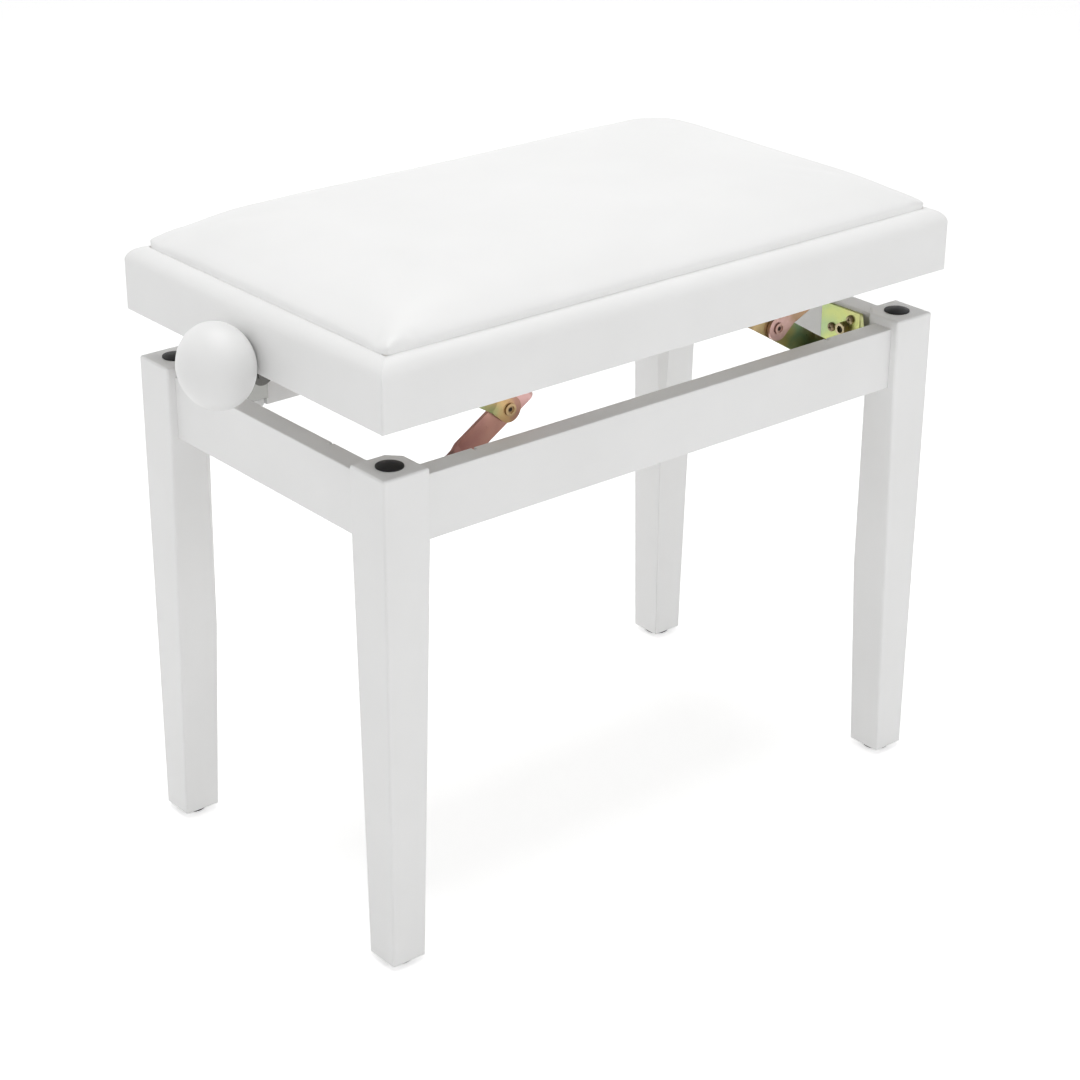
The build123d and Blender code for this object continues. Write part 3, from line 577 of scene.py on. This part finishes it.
# Links: tapered bars of the same 3 mm steel, each with an eye on an arm's middle and a set above it.
# Their zinc is pink at the eye, green past the bend on the left and tan past it on the right.
fern_film = (0.350, 0.390, 0.180)
amber_film = (0.600, 0.400, 0.190)
russet_film = (0.420, 0.235, 0.180)
tan_film = (0.560, 0.330, 0.160)
shell_film = (0.560, 0.365, 0.335)
brown_film = (0.360, 0.240, 0.155)
ochre_film = (0.480, 0.300, 0.150)
link_zinc = passivated_zinc(
    "zinc_links", 0.20, 0.02, 60.0,
    (0.00, fern_film), (0.11, fern_film), (0.145, amber_film), (0.175, russet_film), (0.50, tan_film),
    (0.84, shell_film), (0.875, brown_film), (1.00, ochre_film))
finish_with(link_zinc, "left_link_front", "left_link_back", "right_link_front", "right_link_back")

# Link brackets: angles of zinc-plated sheet under the board, whose ears hold the links by a rivet each.
# Two screws hold each bracket up to the board.
ear_screw_reaches = (0.1970, 0.1770)
ear_screw_side = 0.10975
ear_plate_level = 0.468758
finish_with(bracket_zinc, *[f"link_bracket_{corner}" for corner in corners])
finish_with(pivot_zinc, "link_pivot_rivets")
places = [place for x in ear_screw_reaches
          for place in each_corner(x, ear_screw_side, ear_plate_level, 0.0, 0.0, -1.0)]
ear_screws = piece_from(set_along(wood_screw(), places), "link_bracket_screw_heads")
stand_for(ear_screws, fastener_zinc, "link_bracket_screws", "seat")

# Spindle: a steel rod with a left-hand thread on one half and a right-hand thread on the other.
# Plain turned ends run through the bearings into the knobs.
spindle_height = 0.441458
rod_radius = 0.0060
end_radius = 0.0050
shoulder = 0.2507
rod_end = 0.3090
thread_start = 0.038
thread_end = 0.150
thread_pitch = 0.003
thread_depth = 0.0011


def plain_rod(*profile):
    """A rod turned to the profile, with its ends closed."""
    rod = turned([(0.0, profile[0][1]), *profile, (0.0, profile[-1][1])], 32)
    bmesh.ops.recalc_face_normals(rod, faces=rod.faces)
    return rod


spindle_parts = [
    plain_rod((rod_radius, -thread_start), (rod_radius, thread_start)),
    threaded_rod(rod_radius, thread_depth, thread_pitch, thread_start, thread_end, 1),
    threaded_rod(rod_radius, thread_depth, thread_pitch, -thread_end, -thread_start, -1),
]
for side in (-1, 1):
    spindle_parts.append(plain_rod(
        (rod_radius, side * thread_end), (rod_radius, side * shoulder), (end_radius, side * shoulder),
        (end_radius, side * rod_end)))
spindle_shape = bmesh.new()
for part in spindle_parts:
    held = bpy.data.meshes.new("spindle_part")
    part.to_mesh(held)
    part.free()
    spindle_shape.from_mesh(held)
    bpy.data.meshes.remove(held)
bmesh.ops.transform(spindle_shape, verts=spindle_shape.verts,
                    matrix=(Matrix.Translation((0.0, 0.0, spindle_height))
                            @ Matrix.Rotation(math.pi / 2, 4, "Y")))
steel_along_x = drawn_steel("bright_steel_long", (0.04, 1.0, 1.0))
spindle = piece_from(spindle_shape, "threaded_spindle")
stand_for(spindle, steel_along_x, "spindle", "spindle")

# Nut bars: steel bars threaded for the spindle, with journals at their ends for the arms.
# A spring clip in a groove keeps each arm on.
finish_with(steel_along_y, "left_nut_bar", "right_nut_bar")
finish_with(fastener_zinc, "left_nut_bar_clips", "right_nut_bar_clips")

# Spindle bearings: zinc-plated plates on the end rails, each held by two screws.
# A collar with a grub screw on the spindle takes the thrust.
bearing_face = 0.2510
bearing_screw_side = 0.020
bearing_screw_level = 0.461858
finish_with(bracket_zinc, "spindle_bearing_left", "spindle_bearing_right")
bearing_screws = piece_from(
    set_along(wood_screw(), each_corner(bearing_face, bearing_screw_side, bearing_screw_level, 1.0, 0.0)),
    "bearing_screw_heads")
stand_for(bearing_screws, fastener_zinc, "spindle_bearing_screws", "seat")
finish_with(steel_along_x, "spindle_collars", "collar_grub_screws")

# Knobs: balls turned from beech, flat towards the seat, in the same white lacquer.
# Each is glued on its end of the spindle.
finish_with(paint_along_x, "knob_left", "knob_right")

# Seat rails: mitred and glued at the corners, rounded over by a router and sprayed white.
# The lacquer fills the mitres, and the board lies in a rebate inside the rails.
mitre_edge = 0.0001
rail_paint_x = painted_wood("white_lacquer_rails_long", (0.06, 1.0, 1.0), mitre_edge)
rail_paint_y = painted_wood("white_lacquer_rails_short", (1.0, 0.06, 1.0), mitre_edge)
finish_with(rail_paint_x, "seat_rail_front", "seat_rail_back")
finish_with(rail_paint_y, "seat_rail_left", "seat_rail_right")

# Seat board and corner blocks: birch plywood under the pad, and pine blocks glued into the rails' corners.
# A screw through each block holds the board down.
birch_pale = (0.800, 0.770, 0.725)
birch_dark = (0.720, 0.685, 0.635)
pine_pale = (0.600, 0.440, 0.260)
pine_dark = (0.460, 0.300, 0.150)
block_screw_place = (0.2410, 0.1260, 0.443258)


def bare_wood(name, stretch, pale, dark):
    """Unpainted wood with its grain along the axis with the small stretch."""
    material, tree, shader = new_material(name)
    link = tree.links.new
    bands = noise(tree, object_place(tree, stretch), 60.0, 5.0)
    pores = noise(tree, object_place(tree, stretch), 520.0, 3.0)
    link(tints(tree, bands, (0.30, dark), (0.52, pale), (0.75, dark)), shader.inputs["Base Color"])
    link(spread(tree, pores, 0.55, 0.75), shader.inputs["Roughness"])
    grain = bumped(tree, bands, 0.0003, 0.15, eased_edges(tree, plate_edge))
    link(bumped(tree, pores, 0.0002, 0.20, grain), shader.inputs["Normal"])
    return material


birch = bare_wood("birch_plywood", (0.05, 1.0, 1.0), birch_pale, birch_dark)
pine = bare_wood("pine_blocks", (1.0, 1.0, 0.05), pine_pale, pine_dark)
finish_with(birch, "seat_board")
finish_with(pine, "seat_corner_blocks")
block_screws = piece_from(set_along(wood_screw(), each_corner(*block_screw_place, 0.0, 0.0, -1.0)),
                          "block_screw_heads")
stand_for(block_screws, fastener_zinc, "seat_block_screws", "seat")

# Cushion: foam on the seat board under white leatherette, drawn down over the board's edge and stapled.
# The cover is pulled tight into the corners and swells between them to a low crown.
board_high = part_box("seat_board")[1]
rim_height = board_high.z
cover_gap = 0.0004
edge = Vector((board_high.x + cover_gap, board_high.y + cover_gap))
pad_skirt = 0.010
pad_side = 0.0065
crown_rise = 0.0250
edge_roll = 0.0022
roll_height = 0.0075
crown_squareness = (10.9, 7.4)
crown_fullness = (1.32, 0.93)
voxel = 0.004
swell_limit = 0.003
swell_pressure = 4.0
swell_frames = 20
rub_rounds = 8
cover_low = (0.835, 0.835, 0.830)
cover_high = (0.870, 0.870, 0.865)


def settle(piece):
    """Make the mesh what the piece's modifiers show, and take them off."""
    shown = piece.evaluated_get(bpy.context.evaluated_depsgraph_get())
    piece.data = bpy.data.meshes.new_from_object(shown)
    piece.modifiers.clear()


def reshape(piece, change):
    """Let a function work on the piece's mesh as a bmesh."""
    shape = bmesh.new()
    shape.from_mesh(piece.data)
    change(shape)
    shape.to_mesh(piece.data)
    shape.free()


def raise_crown(shape):
    """Raise the foam's upper side to a flat crown with sloping shoulders."""
    for vert in shape.verts:
        if vert.co.z < rim_height:
            continue
        share = 1.0
        for axis in (0, 1):
            out = min(1.0, abs(vert.co[axis]) / edge[axis])
            share *= (1.0 - out ** crown_squareness[axis]) ** crown_fullness[axis]
        vert.co.z += share * crown_rise


def rub_down(shape):
    """Smooth the cover, roll its edge out over the rim, and lift the underside on to the board."""
    cover = [vert for vert in shape.verts if vert.co.z > rim_height + 2 * pad_side]
    for rub in range(rub_rounds):
        bmesh.ops.smooth_vert(shape, verts=cover, factor=0.5,
                              use_axis_x=True, use_axis_y=True, use_axis_z=True)
    for vert in shape.verts:
        up = (vert.co.z - rim_height) / (2 * roll_height)
        if 0.0 < up < 1.0:
            for axis in (0, 1):
                vert.co[axis] *= 1.0 + edge_roll / edge[axis] * math.sin(math.pi * up)
    under = [vert for vert in shape.verts if vert.co.z < rim_height - pad_skirt / 2
             and all(abs(vert.co[axis]) < edge[axis] - 2 * voxel for axis in (0, 1))]
    bmesh.ops.translate(shape, vec=(0.0, 0.0, pad_skirt), verts=under)


pad = bmesh.new()
bmesh.ops.create_cube(pad, size=2.0)
bmesh.ops.scale(pad, vec=(edge.x, edge.y, (pad_side + pad_skirt) / 2), verts=pad.verts)
bmesh.ops.translate(pad, vec=(0.0, 0.0, rim_height + (pad_side - pad_skirt) / 2), verts=pad.verts)
cushion = piece_from(pad, "cushion_cover")
even = cushion.modifiers.new("even_mesh", "REMESH")
even.mode = "VOXEL"
even.voxel_size = voxel
settle(cushion)
reshape(cushion, raise_crown)
before = [vertex.co.copy() for vertex in cushion.data.vertices]
held = cushion.vertex_groups.new(name="held_edge")
held.add([vertex.index for vertex in cushion.data.vertices if vertex.co.z < rim_height], 1.0, "REPLACE")
cloth = cushion.modifiers.new("swell", "CLOTH")
cloth.settings.quality = 6
cloth.settings.mass = 0.3
cloth.settings.air_damping = 6.0
cloth.settings.tension_stiffness = 30.0
cloth.settings.compression_stiffness = 30.0
cloth.settings.shear_stiffness = 15.0
cloth.settings.bending_stiffness = 6.0
cloth.settings.use_pressure = True
cloth.settings.uniform_pressure_force = swell_pressure
cloth.settings.vertex_group_mass = held.name
cloth.settings.effector_weights.gravity = 0.0
cloth.point_cache.frame_start = 1
cloth.point_cache.frame_end = swell_frames
for step in range(swell_frames):
    bpy.context.scene.frame_set(step + 1)
settle(cushion)
for vertex, start in zip(cushion.data.vertices, before):
    move = vertex.co - start
    if move.length > swell_limit:
        vertex.co = start + move.normalized() * swell_limit
cushion.vertex_groups.clear()
bpy.context.scene.frame_set(1)
reshape(cushion, rub_down)
cushion.data.shade_smooth()
round_off = cushion.modifiers.new("round_off", "SUBSURF")
round_off.levels = 1
round_off.render_levels = 1

leatherette, tree, shader = new_material("white_leatherette")
link = tree.links.new
tone = noise(tree, object_place(tree), 7.0)
link(tints(tree, tone, (0.3, cover_low), (0.7, cover_high)), shader.inputs["Base Color"])
pebbles = node(tree, "ShaderNodeTexVoronoi", Scale=1150.0)
link(object_place(tree), pebbles.inputs["Vector"])
creases = noise(tree, object_place(tree), 330.0, 4.0)
link(spread(tree, creases, 0.40, 0.54), shader.inputs["Roughness"])
plain = tree.nodes.new("ShaderNodeNewGeometry").outputs["Normal"]
grain = bumped(tree, pebbles.outputs["Distance"], 0.0001, 0.22, plain)
link(bumped(tree, creases, 0.0002, 0.10, grain), shader.inputs["Normal"])
stand_for(cushion, leatherette, "cushion", "seat")
